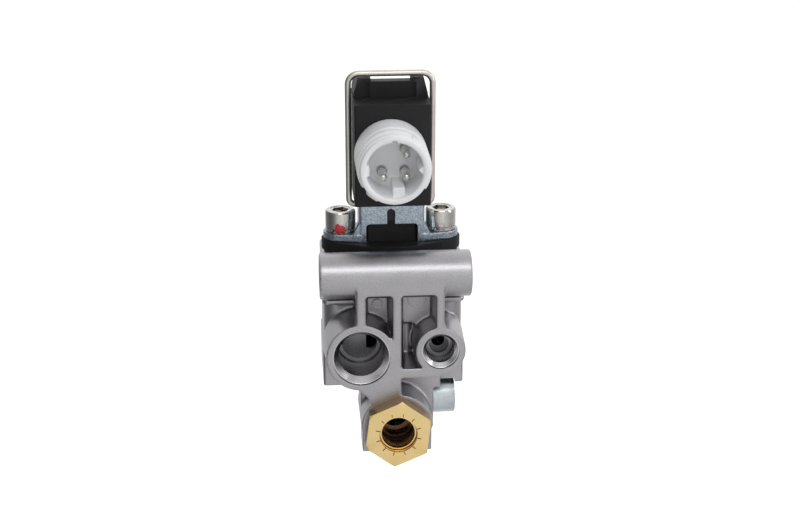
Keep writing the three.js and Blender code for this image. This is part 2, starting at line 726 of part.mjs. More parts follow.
function connectorShell() {
  const centre = [PLUG_X, PLUG_Z];
  const base = VALVE_Y - COIL_HALF_Y - GAP;
  const rim = PLUG_RIM_Y;
  const outside = stepped('y', centre, [
    [PLUG_RADIUS, base], [PLUG_RADIUS, rim + 6], [PLUG_RADIUS - 0.8, rim + 5.2],
    [PLUG_RADIUS - 0.8, rim + 0.5], [PLUG_RADIUS - 1.3, rim],
  ]);
  const cavity = stepped('y', centre, [[PLUG_CAVITY, rim - 1], [PLUG_CAVITY, PLUG_FLOOR_Y]]);
  const keyBlock = box(
    [PLUG_X - 0.4, PLUG_X + 3.3], [rim + 2.4, PLUG_FLOOR_Y + 1], [PLUG_Z - 9.4, PLUG_Z - 5.9],
  );
  const leftRib = box(
    [PLUG_X - 9.4, PLUG_X - 7.8], [rim + 0.6, PLUG_FLOOR_Y + 1], [PLUG_Z - 1.6, PLUG_Z + 1.6],
  );
  const rightTab = prism('y', outline([
    [PLUG_X + 9.4, PLUG_Z - 1.9], [PLUG_X + 7.3, PLUG_Z], [PLUG_X + 9.4, PLUG_Z + 1.9],
  ]), [rim + 0.6, PLUG_FLOOR_Y + 1]);
  const holes = pinPlaces().map((place) => rod('y', place, [PLUG_FLOOR_Y - 1, base + 1], PIN_RADIUS + GAP));
  return cut(joined(outside.subtract(cavity), bayonetRamps(), keyBlock, leftRib, rightTab), ...holes);
}

function contactPin([u, v]) {
  return stepped('y', [u, v], [
    [0.7, PIN_TIP_Y], [PIN_RADIUS, PIN_TIP_Y + 0.6], [PIN_RADIUS, VALVE_Y - COIL_HALF_Y - 2 * GAP],
  ]);
}

// ---- Assembly ----------------------------------------------------------

const FINISHES = {
  casting: { color: 0xa5a3a8, roughness: 0.45, metalness: 0.9 },
  brass: { color: 0xe0c084, roughness: 0.25, metalness: 1 },
  zinc: { color: 0xb4c0c8, roughness: 0.4, metalness: 0.8 },
  nickel: { color: 0xd0cdc8, roughness: 0.15, metalness: 1 },
  steel: { color: 0xbab2a8, roughness: 0.3, metalness: 1 },
  blackPlastic: { color: 0x2c2b2e, roughness: 0.6, metalness: 0 },
  greyPlastic: { color: 0xdfe2e6, roughness: 0.5, metalness: 0 },
  rubber: { color: 0x1c1c1c, roughness: 0.85, metalness: 0 },
  copper: { color: 0xb4683a, roughness: 0.35, metalness: 1 },
  bobbin: { color: 0xd8d2c0, roughness: 0.6, metalness: 0 },
  paint: { color: 0xd81e1e, roughness: 0.4, metalness: 0 },
};

const valve = new THREE.Group();

function addPart(name, solid, finish) {
  const mesh = new THREE.Mesh(geometryFrom(solid), new THREE.MeshStandardMaterial(FINISHES[finish]));
  mesh.name = name;
  valve.add(mesh);
}

addPart('valve_body', valveBody(), 'casting');
addPart('fitting_body', fittingBody(), 'brass');
addPart('fitting_collet', fittingCollet(), 'brass');
addPart('tube_seal', tubeSeal(), 'rubber');
addPart('fitting_seal', fittingSeal(), 'rubber');
addPart('side_plug', sidePlug(), 'zinc');
addPart('side_plug_seal', plugSeal(), 'rubber');

addPart('relay_piston', relayPiston(), 'steel');
addPart('piston_seal', ring('z', [0, VALVE_Y], [12.1, 14.3], 8.45, PISTON_RADIUS + 0.02), 'rubber');
addPart('piston_spring', spring(6.6, 0.6, [SEAT_TOP_Z + GAP, 10.1], 5), 'steel');
addPart('valve_poppet', valvePoppet(), 'rubber');
addPart('poppet_spring', spring(3.3, 0.45, [-35.3, -15.1], 7), 'steel');
addPart('bottom_cap', bottomCap(), 'steel');
addPart('bottom_cap_seal', ring('z', [0, VALVE_Y], [-36.6, -34.9], 5.25, 6.42), 'rubber');
addPart('circlip', circlip(), 'steel');

addPart('flange_gasket', flangeGasket(), 'rubber');
addPart('pilot_base', pilotBase(), 'blackPlastic');
addPart('pilot_housing', pilotHousing(), 'blackPlastic');
addPart('pilot_nozzle', pilotNozzle(), 'brass');
addPart('pilot_seal', pilotSeal(), 'rubber');

addPart('retaining_bracket', retainingBracket(), 'zinc');
for (const [label, side] of [['left', -1], ['right', 1]]) {
  addPart(`washer_${label}`, washer(side), 'nickel');
  addPart(`cap_screw_${label}`, capScrew(side), 'nickel');
}
addPart('tamper_mark', tamperMark(), 'paint');
addPart('bail_clip', bailClip(), 'steel');

addPart('guide_tube', guideTube(), 'steel');
addPart('guide_tube_seal', tubeRing(), 'rubber');
addPart('fixed_core', fixedCore(), 'steel');
addPart('armature', armature(), 'steel');
addPart('armature_seal', armatureSeal(), 'rubber');
addPart('armature_spring', spring(1.4, 0.25, [53.1, 61.9], 7), 'steel');

addPart('coil_bobbin', coilBobbin(), 'bobbin');
addPart('coil_winding', coilWinding(), 'copper');
addPart('coil_yoke', coilYoke(), 'steel');
addPart('coil_housing', coilHousing(), 'blackPlastic');

addPart('connector_shell', connectorShell(), 'greyPlastic');
pinPlaces().forEach((place, i) => addPart(`contact_pin_${i + 1}`, contactPin(place), 'nickel'));

export default valve;
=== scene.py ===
"""Looks of a pilot-operated solenoid valve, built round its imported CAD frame.

Lengths are millimetres until a mesh is made, and angles are degrees unless a
name says otherwise. Shapes are drawn along an axis: on 'x' an outline's (u, v)
is (y, z), on 'y' it is (x, z), and on 'z' it is (x, y).
"""

import json
import math

import bmesh
import bpy
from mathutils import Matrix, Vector

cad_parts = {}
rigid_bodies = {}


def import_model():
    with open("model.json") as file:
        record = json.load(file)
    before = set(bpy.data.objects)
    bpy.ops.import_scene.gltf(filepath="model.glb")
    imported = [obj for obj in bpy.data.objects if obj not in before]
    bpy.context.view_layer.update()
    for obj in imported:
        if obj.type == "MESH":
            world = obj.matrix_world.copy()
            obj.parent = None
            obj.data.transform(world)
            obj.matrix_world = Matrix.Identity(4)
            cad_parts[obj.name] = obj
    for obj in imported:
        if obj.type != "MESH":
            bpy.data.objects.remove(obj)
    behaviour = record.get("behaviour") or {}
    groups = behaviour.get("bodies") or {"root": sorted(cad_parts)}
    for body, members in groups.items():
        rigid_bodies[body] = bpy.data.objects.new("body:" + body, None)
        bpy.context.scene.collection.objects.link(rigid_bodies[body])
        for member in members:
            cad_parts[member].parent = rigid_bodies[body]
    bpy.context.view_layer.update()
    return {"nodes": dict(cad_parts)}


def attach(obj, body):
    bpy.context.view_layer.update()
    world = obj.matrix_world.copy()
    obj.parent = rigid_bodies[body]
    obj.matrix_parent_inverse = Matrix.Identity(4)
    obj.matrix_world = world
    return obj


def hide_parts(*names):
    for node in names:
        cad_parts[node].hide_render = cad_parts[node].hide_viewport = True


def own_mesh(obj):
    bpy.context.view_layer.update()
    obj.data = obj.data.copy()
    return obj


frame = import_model()

MM = 0.001

# ---- Measures of the CAD model ------------------------------------------

FRONT_Y = -42.0
MOUTH_Y = -39.0       # where the ports' bright mouths end and the painted shade of the bores starts
POCKET_Y = -31.5
OUTER_Y = -27.5
TOP_Y = -28.2
LEDGE_Y = -29.5
VALVE_Y = -15.0
BODY_HALF_X = 22.8
WIDE_HALF_X = 23.2
BODY_TOP = 23.0
LEDGE = (9.9, 11.6)
FOOT_TOP = -6.0
BODY_BOTTOM = -19.5
TOWER_BOTTOM = -39.5

CROSS_CENTRE = (-34.5, 22.0)
CROSS_RADIUS = 7.5
CROSS_HALF = 24.25

LARGE_PORT = (-11.3, -3.8)
SMALL_PORT = (14.2, -2.1)
INLET = (0.2, -28.8)
HEX_FLATS = 20.0
HEX_FRONT_Y = -47.0
HEX_TURN = -6.7
SIDE_PLUG = (-24.5, -25.1)

SCREW_X = 16.5
HEAD_Z = 32.2
HEAD_RADIUS = 5.0
SEAM_Z = 25.0
FLANGE_TOP = 28.55
PILOT_TOP = 38.0
WING_TOP = 31.0
WINDOW_TOP = 34.65
BRACKET_TOP = 42.3
INSIDE_TOP = 40.2
PIVOT_Z = 39.7
COIL_BOTTOM = 42.4
COIL_TOP = 75.6
BRIDGE_TOP = 81.9
COIL_HALF_X = 12.2
COIL_HALF_Y = 12.0

PLUG = (-0.8, 59.6)
PLUG_RADIUS = 11.6
PLUG_CAVITY = 8.85
PIN_CENTRE_X = -0.4
PIN_OFFSET = 3.6
PIN_RADIUS = 1.25
PIN_TIP_Y = -41.0
PLUG_RIM_Y = -46.0
PLUG_FLOOR_Y = -32.0

GAP = 0.05    # between pieces that would touch


# ---- Camera, light and floor --------------------------------------------

def add_camera():
    """Looks down at the ports from a little left of straight on."""
    data = bpy.data.cameras.new("camera")
    data.sensor_width = 36.0
    data.lens = 70.9
    camera = bpy.data.objects.new("camera", data)
    camera.location = Vector((-34.64, -505.67, 196.95)) * MM
    aim = Vector((2.84, -18.47, 19.1)) * MM
    camera.rotation_euler = (aim - camera.location).to_track_quat("-Z", "Y").to_euler()
    bpy.context.scene.collection.objects.link(camera)
    bpy.context.scene.camera = camera


def add_softbox(name, place, aim, size, power, color=(1.0, 1.0, 1.0)):
    data = bpy.data.lights.new(name, "AREA")
    data.shape = "RECTANGLE"
    data.size, data.size_y = size
    data.energy = power
    data.color = color
    light = bpy.data.objects.new(name, data)
    light.location = place
    light.rotation_euler = (Vector(aim) - Vector(place)).to_track_quat("-Z", "Y").to_euler()
    bpy.context.scene.collection.objects.link(light)


def shade_along(tree, direction, stops):
    """Grey by one component of the direction, from -1 to 1."""
    place = add_node(tree, "ShaderNodeMapRange", [(direction, "Value")], From_Min=-1.0)
    ramp = tree.nodes.new("ShaderNodeValToRGB")
    tree.links.new(place.outputs[0], ramp.inputs[0])
    elements = ramp.color_ramp.elements
    elements[1].position = 1.0
    for at, _ in stops[1:-1]:
        elements.new((at + 1.0) / 2)
    for element, (_, grey) in zip(elements, stops):
        element.color = (grey, grey, grey, 1.0)
    return ramp.outputs[0]


def add_world():
    """A white tent, open towards a dark room on the left."""
    world = bpy.data.worlds.new("studio")
    bpy.context.scene.world = world
    world.use_nodes = True
    tree = world.node_tree
    coordinates = tree.nodes.new("ShaderNodeTexCoord")
    parts = tree.nodes.new("ShaderNodeSeparateXYZ")
    tree.links.new(coordinates.outputs["Generated"], parts.inputs[0])
    shades = [
        shade_along(tree, parts.outputs["X"],
                    [(-1.0, 0.16), (-0.75, 0.26), (-0.35, 0.80), (0.2, 1.0), (0.6, 0.80), (1.0, 0.62)]),
        shade_along(tree, parts.outputs["Y"],
                    [(-1.0, 0.80), (-0.6, 0.74), (-0.1, 0.62), (0.5, 0.85), (1.0, 1.0)]),
        shade_along(tree, parts.outputs["Z"],
                    [(-1.0, 0.80), (-0.3, 0.85), (0.0, 0.92), (0.5, 0.95), (1.0, 1.0)]),
    ]
    value = shades[0]
    for shade in shades[1:]:
        value = calculate(tree, "MULTIPLY", value, shade)
    background = tree.nodes["Background"]
    background.inputs["Strength"].default_value = 1.15
    tree.links.new(value, background.inputs["Color"])


def add_floor():
    """A pale paper sweep that only the camera sees."""
    profile = [(0.0, -320.0), (1400.0, -320.0)]
    for i in range(1, 13):
        angle = math.radians(90.0 * i / 12)
        profile.append((1400.0 + 1200.0 * math.sin(angle), 880.0 - 1200.0 * math.cos(angle)))
    profile.append((2600.0, 3200.0))
    vertices = []
    faces = []
    segments = 64
    for radius, z in profile:
        for i in range(segments):
            angle = 2 * math.pi * i / segments
            vertices.append((radius * math.cos(angle), radius * math.sin(angle), z))
    for ring in range(len(profile) - 1):
        for i in range(segments):
            j = (i + 1) % segments
            a = ring * segments
            faces.append((a + i, a + j, a + segments + j, a + segments + i))
    floor = piece("floor", vertices, faces)
    floor.data.materials.append(paper_material())
    floor.data.polygons.foreach_set("use_smooth", [True] * len(floor.data.polygons))
    floor.visible_diffuse = False
    floor.visible_glossy = False
    floor.visible_transmission = False
    floor.visible_shadow = False


# ---- Materials ----------------------------------------------------------

def add_node(tree, kind, links=(), **values):
    """Adds a node, sets its inputs by name, and links (socket, input) pairs."""
    node = tree.nodes.new(kind)
    for name, value in values.items():
        node.inputs[name.replace("_", " ")].default_value = value
    for socket, name in links:
        tree.links.new(socket, node.inputs[name])
    return node


def noise(tree, size, detail=3.0, stretch=(1.0, 1.0, 1.0)):
    """Soft noise with features of about size millimetres, in object space."""
    coordinates = tree.nodes.new("ShaderNodeTexCoord")
    mapping = add_node(tree, "ShaderNodeMapping", [(coordinates.outputs["Object"], "Vector")])
    mapping.inputs["Scale"].default_value = [s / (size * MM) for s in stretch]
    texture = add_node(tree, "ShaderNodeTexNoise", [(mapping.outputs[0], "Vector")],
                       Scale=1.0, Detail=detail)
    return texture.outputs[0]


def remap(tree, value, source, target):
    node = add_node(tree, "ShaderNodeMapRange", [(value, "Value")],
                    From_Min=source[0], From_Max=source[1], To_Min=target[0], To_Max=target[1])
    return node.outputs[0]


def calculate(tree, operation, first, second):
    """A Math node; second is a socket or a number."""
    node = tree.nodes.new("ShaderNodeMath")
    node.operation = operation
    tree.links.new(first, node.inputs[0])
    if isinstance(second, float):
        node.inputs[1].default_value = second
    else:
        tree.links.new(second, node.inputs[1])
    return node.outputs[0]


def total(tree, first, second, share):
    """first * (1 - share) + second * share"""
    return calculate(tree, "ADD", calculate(tree, "MULTIPLY", first, 1.0 - share),
                     calculate(tree, "MULTIPLY", second, share))


def mix_colors(tree, factor, first, second, blend="MIX"):
    """A colour Mix node; factor and second are sockets or values."""
    node = tree.nodes.new("ShaderNodeMix")
    node.data_type = "RGBA"
    node.blend_type = blend
    tree.links.new(first, node.inputs[6])
    for value, place in ((factor, 0), (second, 7)):
        if isinstance(value, (float, tuple)):
            node.inputs[place].default_value = value
        else:
            tree.links.new(value, node.inputs[place])
    return node.outputs[2]


def blend_colors(tree, factor, dark, light):
    node = tree.nodes.new("ShaderNodeValToRGB")
    tree.links.new(factor, node.inputs[0])
    node.color_ramp.elements[0].color = (*dark, 1.0)
    node.color_ramp.elements[1].color = (*light, 1.0)
    return node.outputs[0]


def finish(name, dark, light, roughness, metallic=0.0, mottle=5.0, speckle=0.4, share=0.4,
           contrast=0.2, spread=0.05, grain=0.25, bump=0.2, height=0.02, stretch=(1, 1, 1),
           wear_and_edge_highlight=None, coat=0.0, specular=0.5, painted_hollow_shade=None):
    """A procedural surface: mottled colour, uneven gloss, grain, edges lightened partly as wear and
    partly as painted highlight, painted shade in hollows.

    mottle, speckle and grain are feature sizes in millimetres, and stretch works
    on the last two. The edge argument is (colour, range of pointiness): it lightens
    convex edges, partly as wear and partly as painted highlight. The hollow argument
    is (darkest factor, reach in millimetres): it darkens hollows as painted shade.
    """
    material = bpy.data.materials.new(name)
    material.use_nodes = True
    tree = material.node_tree
    shader = tree.nodes["Principled BSDF"]
    shader.inputs["Metallic"].default_value = metallic
    shader.inputs["Specular IOR Level"].default_value = specular
    shader.inputs["Coat Weight"].default_value = coat
    shader.inputs["Coat Roughness"].default_value = 0.08
    large = noise(tree, mottle)
    small = noise(tree, speckle, 2.0, stretch)
    factor = remap(tree, total(tree, large, small, share),
                   (0.5 - contrast, 0.5 + contrast), (0, 1))
    color = blend_colors(tree, factor, dark, light)
    gloss = remap(tree, total(tree, large, small, 0.5), (0.35, 0.65),
                  (roughness - spread, roughness + spread))
    # Convex edges are lightened by pointiness: partly wear, partly a painted highlight along the edges.
    if wear_and_edge_highlight:
        geometry = tree.nodes.new("ShaderNodeNewGeometry")
        edge = remap(tree, geometry.outputs["Pointiness"], wear_and_edge_highlight[1], (0, 1))
        color = mix_colors(tree, edge, color, (*wear_and_edge_highlight[0], 1.0))
    # Painted shade: ambient occlusion darkens the colour in hollows, pockets and corners.
    if painted_hollow_shade:
        hollow = add_node(tree, "ShaderNodeAmbientOcclusion", Distance=painted_hollow_shade[1] * MM)
        hollow.samples = 8
        shade = remap(tree, hollow.outputs["AO"], (0.25, 0.95), (painted_hollow_shade[0], 1.0))
        color = mix_colors(tree, 1.0, color, shade, "MULTIPLY")
    tree.links.new(color, shader.inputs["Base Color"])
    tree.links.new(gloss, shader.inputs["Roughness"])
    fine = noise(tree, grain, 2.0, stretch)
    relief = add_node(tree, "ShaderNodeBump", [(fine, "Height")], Strength=bump,
                      Distance=height * MM)
    tree.links.new(relief.outputs[0], shader.inputs["Normal"])
    return material


def paper_material():
    material = finish("studio_paper", (0.90, 0.90, 0.90), (0.92, 0.92, 0.92), 0.9,
                      mottle=400.0, speckle=90.0, grain=60.0, bump=0.0)
    shader = material.node_tree.nodes["Principled BSDF"]
    shader.inputs["Emission Color"].default_value = (1.0, 1.0, 1.0, 1.0)
    shader.inputs["Emission Strength"].default_value = 0.6
    return material


def make_materials():
    return {
        # Die-cast aluminium: painted shade darkens its pockets and corners, and its convex edges are
        # lightened partly as wear, partly as painted highlight.
        "casting": finish(
            "die_cast_aluminium", (0.42, 0.41, 0.435), (0.58, 0.57, 0.59), 0.36, metallic=1.0,
            mottle=7.0, speckle=0.5, share=0.6, grain=0.35, bump=0.7, height=0.035,
            wear_and_edge_highlight=((0.72, 0.71, 0.73), (0.53, 0.60)), painted_hollow_shade=(0.62, 7.0)),
        "machined": finish(
            "machined_aluminium", (0.68, 0.67, 0.69), (0.82, 0.81, 0.83), 0.22, metallic=1.0,
            mottle=6.0, speckle=0.35, grain=0.3, bump=0.25, height=0.012),
        # A darker copy of the machined aluminium with extra occlusion darkening: painted shade inside
        # the bores.
        "bore": finish(
            "shaded_machined_bore", (0.44, 0.43, 0.45), (0.62, 0.61, 0.63), 0.27, metallic=1.0,
            mottle=6.0, speckle=0.35, grain=0.3, bump=0.25, height=0.012, painted_hollow_shade=(0.46, 12.0)),
        "brass": finish(
            "machined_brass", (0.92, 0.66, 0.28), (1.0, 0.79, 0.39), 0.25, metallic=1.0,
            mottle=6.0, speckle=0.5, grain=0.3, bump=0.15, height=0.01),
        # A darker brown copy of the brass for the hexagon's side facets: painted shade standing in for
        # their darker reflection.
        "brass_facet_shade": finish(
            "shaded_brass_facets", (0.44, 0.30, 0.15), (0.62, 0.44, 0.23), 0.34, metallic=1.0,
            mottle=3.0, speckle=0.5, grain=0.3, bump=0.2, height=0.015),
        # A darker copy of the brass: painted shade inside the fitting's passage, its slits and the
        # collet.
        "brass_bore": finish(
            "shaded_brass_bore", (0.52, 0.27, 0.10), (0.78, 0.46, 0.18), 0.28, metallic=1.0,
            mottle=3.0, speckle=0.4, grain=0.3, bump=0.2, height=0.015),
        # Its convex edges are lightened partly as wear, partly as painted highlight.
        "zinc": finish(
            "blue_zinc_plate", (0.26, 0.32, 0.39), (0.62, 0.70, 0.76), 0.34, metallic=1.0,
            mottle=3.0, speckle=0.42, share=0.75, contrast=0.14, grain=0.4, bump=0.6, height=0.03,
            spread=0.1, wear_and_edge_highlight=((0.80, 0.84, 0.87), (0.56, 0.64))),
        "plug_zinc": finish(
            "clear_zinc_plate", (0.50, 0.57, 0.60), (0.74, 0.80, 0.82), 0.32, metallic=1.0,
            mottle=3.0, speckle=0.5, grain=0.4, bump=0.3, height=0.02),
        "nickel": finish(
            "bright_nickel", (0.60, 0.58, 0.54), (0.76, 0.74, 0.71), 0.13, metallic=1.0,
            mottle=1.6, speckle=0.5, stretch=(2.5, 2.5, 0.15), share=0.6, contrast=0.14,
            grain=0.25, bump=0.15, height=0.008),
        "wire": finish(
            "drawn_stainless", (0.72, 0.67, 0.60), (0.88, 0.83, 0.77), 0.38, metallic=1.0,
            mottle=9.0, speckle=0.8, stretch=(1, 1, 0.1), grain=0.5, bump=0.1, height=0.006),
        "steel": finish(
            "turned_steel", (0.42, 0.42, 0.43), (0.58, 0.58, 0.59), 0.30, metallic=1.0,
            mottle=4.0, speckle=0.3, grain=0.2, bump=0.2, height=0.01),
        "piston": finish(
            "turned_aluminium", (0.55, 0.55, 0.57), (0.68, 0.68, 0.70), 0.30, metallic=1.0,
            mottle=4.0, speckle=0.3, grain=0.2, bump=0.2, height=0.01),
        # Its convex edges are lightened partly as wear, partly as painted highlight.
        "black": finish(
            "glass_filled_nylon", (0.013, 0.0125, 0.0135), (0.020, 0.019, 0.021), 0.50,
            mottle=6.0, speckle=0.6, grain=0.3, bump=0.35, height=0.025, spread=0.06,
            wear_and_edge_highlight=((0.045, 0.045, 0.05), (0.56, 0.66)), specular=0.24),
        "shell": finish(
            "pale_grey_plastic", (0.88, 0.89, 0.91), (0.94, 0.95, 0.96), 0.40,
            mottle=6.0, speckle=0.8, grain=0.4, bump=0.12, height=0.02),
        "bobbin": finish(
            "natural_nylon", (0.66, 0.62, 0.50), (0.76, 0.72, 0.60), 0.5,
            mottle=4.0, speckle=0.5, grain=0.4, bump=0.2, height=0.02),
        "copper": finish(
            "enamelled_copper", (0.42, 0.16, 0.06), (0.62, 0.28, 0.12), 0.3, metallic=1.0,
            mottle=4.0, speckle=0.25, stretch=(0.2, 0.2, 4.0), grain=0.25, bump=0.8, height=0.1),
        "rubber": finish(
            "nitrile_rubber", (0.012, 0.012, 0.012), (0.024, 0.024, 0.024), 0.7,
            mottle=3.0, speckle=0.4, grain=0.3, bump=0.3, height=0.02, specular=0.3),
        "lacquer": finish(
            "red_lacquer", (0.58, 0.015, 0.018), (0.82, 0.05, 0.05), 0.28,
            mottle=1.2, speckle=0.4, grain=0.5, bump=0.4, height=0.06, coat=0.3),
    }


# ---- Outlines -----------------------------------------------------------

def arc(centre, radius, start, end, steps=16):
    """Points from start to end, both in degrees, end included."""
    points = []
    for i in range(steps + 1):
        angle = math.radians(start + (end - start) * i / steps)
        points.append((centre[0] + radius * math.cos(angle), centre[1] + radius * math.sin(angle)))
    return points


def circle(centre, radius, steps=64):
    return arc(centre, radius, 0.0, 360.0, steps)[:-1]


def rectangle(u0, u1, v0, v1):
    return [(u0, v0), (u1, v0), (u1, v1), (u0, v1)]


def rounded(corners, radius, steps=6):
    """A closed outline with round corners; a corner may carry its own radius."""
    outline = []
    for i, corner in enumerate(corners):
        here = Vector(corner[:2])
        before = (Vector(corners[i - 1][:2]) - here).normalized()
        after = (Vector(corners[(i + 1) % len(corners)][:2]) - here).normalized()
        own = corner[2] if len(corner) > 2 else radius
        if own <= 0:
            outline.append(tuple(here))
            continue
        half = before.angle(after) / 2
        centre = here + (before + after).normalized() * (own / math.sin(half))
        first = here + before * (own / math.tan(half)) - centre
        last = here + after * (own / math.tan(half)) - centre
        turn = math.atan2(first.x * last.y - first.y * last.x, first.dot(last))
        start = math.atan2(first.y, first.x)
        for step in range(steps + 1):
            angle = start + turn * step / steps
            outline.append((centre.x + own * math.cos(angle), centre.y + own * math.sin(angle)))
    return outline


def lozenge(half_x, half_y, flat_half_x):
    """The pilot head's outline: a round end about each screw, flat front and back."""
    end = half_x - SCREW_X
    slope = math.degrees(math.atan2(half_y - end, SCREW_X - flat_half_x))
    tangent = 90.0 - slope
    right = arc((SCREW_X, VALVE_Y), end, -tangent, tangent, 28)
    left = arc((-SCREW_X, VALVE_Y), end, 180.0 - tangent, 180.0 + tangent, 28)
    low, high = VALVE_Y - half_y, VALVE_Y + half_y
    return [(-flat_half_x, low), (flat_half_x, low), *right,
            (flat_half_x, high), (-flat_half_x, high), *left]


def hexagon(across_flats, centre, turn):
    radius = across_flats / math.sqrt(3)
    return [(centre[0] + radius * math.cos(math.radians(90 + turn + 60 * i)),
             centre[1] + radius * math.sin(math.radians(90 + turn + 60 * i))) for i in range(6)]


# ---- Mesh tools ---------------------------------------------------------

def point(axis, u, v, w):
    if axis == "x":
        return (w, u, v)
    if axis == "y":
        return (u, w, v)
    return (u, v, w)


def piece(name, vertices, faces):
    mesh = bpy.data.meshes.new(name)
    mesh.from_pydata([[c * MM for c in vertex] for vertex in vertices], [], faces)
    work = bmesh.new()
    work.from_mesh(mesh)
    bmesh.ops.recalc_face_normals(work, faces=work.faces)
    work.to_mesh(mesh)
    work.free()
    obj = bpy.data.objects.new(name, mesh)
    bpy.context.scene.collection.objects.link(obj)
    return obj


def skin(name, rings):
    """A closed solid through rings of the same number of points."""
    count = len(rings[0])
    vertices = [vertex for ring in rings for vertex in ring]
    faces = [tuple(range(count)), tuple(range(len(vertices) - count, len(vertices)))]
    for base in range(0, len(vertices) - count, count):
        for i in range(count):
            j = (i + 1) % count
            faces.append((base + i, base + j, base + count + j, base + count + i))
    return piece(name, vertices, faces)


def loft(name, axis, sections):
    """A closed solid through sections of (place along the axis, outline)."""
    return skin(name, [[point(axis, u, v, w) for u, v in outline] for w, outline in sections])


def prism(name, axis, outline, low, high):
    return loft(name, axis, [(low, outline), (high, outline)])


def box(name, x, y, z):
    return prism(name, "z", rectangle(*x, *y), *z)


def rod(name, axis, centre, low, high, radius, end=None, steps=96):
    end = radius if end is None else end
    return loft(name, axis, [(low, circle(centre, radius, steps)), (high, circle(centre, end, steps))])


def turned(name, axis, centre, profile, steps=96):
    """A turned solid: profile is a closed list of (radius, place along the axis)."""
    vertices = []
    rings = []
    for radius, place in profile:
        count = steps if radius > 1e-6 else 1
        rings.append((len(vertices), count))
        for u, v in circle(centre, radius, steps)[:count]:
            vertices.append(point(axis, u, v, place))
    faces = []
    for i, (first, count) in enumerate(rings):
        second, other = rings[(i + 1) % len(rings)]
        if count == 1 and other == 1:
            continue
        for k in range(steps):
            m = (k + 1) % steps
            corners = [first + k % count, first + m % count, second + m % other, second + k % other]
            faces.append(tuple(dict.fromkeys(corners)))
    return piece(name, vertices, faces)


def apply_modifiers(obj):
    graph = bpy.context.evaluated_depsgraph_get()
    mesh = bpy.data.meshes.new_from_object(obj.evaluated_get(graph))
    obj.modifiers.clear()
    old = obj.data
    obj.data = mesh
    bpy.data.meshes.remove(old)


def combine(target, tools, operation):
    """One exact boolean with all the tools at once, which takes their materials over."""
    group = bpy.data.collections.new("tools")
    for tool in tools:
        bpy.context.scene.collection.objects.unlink(tool)
        group.objects.link(tool)
    bpy.context.scene.collection.children.link(group)
    modifier = target.modifiers.new("combine", "BOOLEAN")
    modifier.operation = operation
    modifier.solver = "EXACT"
    modifier.operand_type = "COLLECTION"
    modifier.collection = group
    modifier.material_mode = "TRANSFER"
    apply_modifiers(target)
    for tool in list(group.objects):
        bpy.data.objects.remove(tool)
    bpy.data.collections.remove(group)
    return target


def cut(target, *tools):
    return combine(target, tools, "DIFFERENCE")


def add(target, *tools):
    return combine(target, tools, "UNION")


def heap(target, *others):
    """Puts meshes together as they are; a remesh afterwards welds them."""
    work = bmesh.new()
    for obj in (target, *others):
        work.from_mesh(obj.data)
    work.to_mesh(target.data)
    work.free()
    for obj in others:
        bpy.data.objects.remove(obj)
    return target


def remesh(obj, voxel, rounds):
    """Welds a heap into one skin and softens its edges like a moulding's."""
    modifier = obj.modifiers.new("weld", "REMESH")
    modifier.mode = "VOXEL"
    modifier.voxel_size = voxel * MM
    modifier.adaptivity = 0.0
    smooth = obj.modifiers.new("soften", "SMOOTH")
    smooth.factor = 0.5
    smooth.iterations = rounds
    apply_modifiers(obj)
    return obj


def bevel(obj, width, segments=3, angle=35.0):
    modifier = obj.modifiers.new("edges", "BEVEL")
    modifier.width = width * MM
    modifier.segments = segments
    modifier.limit_method = "ANGLE"
    modifier.angle_limit = math.radians(angle)
    modifier.miter_outer = "MITER_ARC"
    apply_modifiers(obj)
    work = bmesh.new()
    work.from_mesh(obj.data)
    bmesh.ops.remove_doubles(work, verts=work.verts, dist=0.004 * MM)
    work.to_mesh(obj.data)
    work.free()
    return obj


def coat(obj, material):
    obj.data.materials.clear()
    obj.data.materials.append(material)
    return obj


def recoat(obj, material, chosen):
    """Gives another material to the faces whose centre and normal are chosen."""
    obj.data.materials.append(material)
    index = len(obj.data.materials) - 1
    for face in obj.data.polygons:
        if chosen(face.center / MM, face.normal):
            face.material_index = index


def present(obj, body, slot, *nodes, sharp=32.0, flat_faces=False):
    """Shades a finished piece and puts it in the frame in place of its CAD nodes."""
    obj.data.polygons.foreach_set("use_smooth", [True] * len(obj.data.polygons))
    obj.data.set_sharp_from_angle(angle=math.radians(sharp))
    if flat_faces:
        even = obj.modifiers.new("even", "WEIGHTED_NORMAL")
        even.weight = 100
        even.keep_sharp = True
        apply_modifiers(obj)
    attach(obj, body)
    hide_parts(*nodes)
    return obj


# ---- Die-cast body ------------------------------------------------------

def front_plate():
    """Ribs and webs: one plate with two drafted pockets."""
    outline = rounded([
        (-12.7, -8.0, 0), (-12.7, 22.0, 0), (15.3, 22.0, 0), (15.3, -2.0, 0),
        (14.2, -11.1, 0), (1.5, -11.1, 0.6), (1.5, -26.0, 0), (-1.2, -26.0, 0), (-1.2, -8.0, 0),
    ], 0)
    plate = prism("plate", "y", outline, FRONT_Y, POCKET_Y + 1.5)
    draft = 0.9
    pockets = []
    for u0, u1, v0, v1 in ((-9.9, -1.2, -8.0, 17.2), (1.5, 12.8, -8.0, 17.2)):
        front = rounded(rectangle(u0, u1, v0, v1), 1.0)
        back = rounded(rectangle(u0 + draft, u1 - draft, v0 + draft, v1 - draft), 1.4)
        pockets.append(loft("pocket", "y", [(FRONT_Y - 1, front), (FRONT_Y, front),
                                            (POCKET_Y, back), (POCKET_Y + 2, back)]))
    return cut(plate, *pockets)


def body_core():
    """The block behind the pockets, with the deeper recess."""
    core = box("core", (-12.7, 15.3), (POCKET_Y, OUTER_Y + 2), (BODY_BOTTOM, BODY_TOP))
    recess = prism("recess", "y", rounded(rectangle(1.8, 6.6, -8.0, 3.8), 0.9), -33.0, -28.6)
    return cut(core, recess)


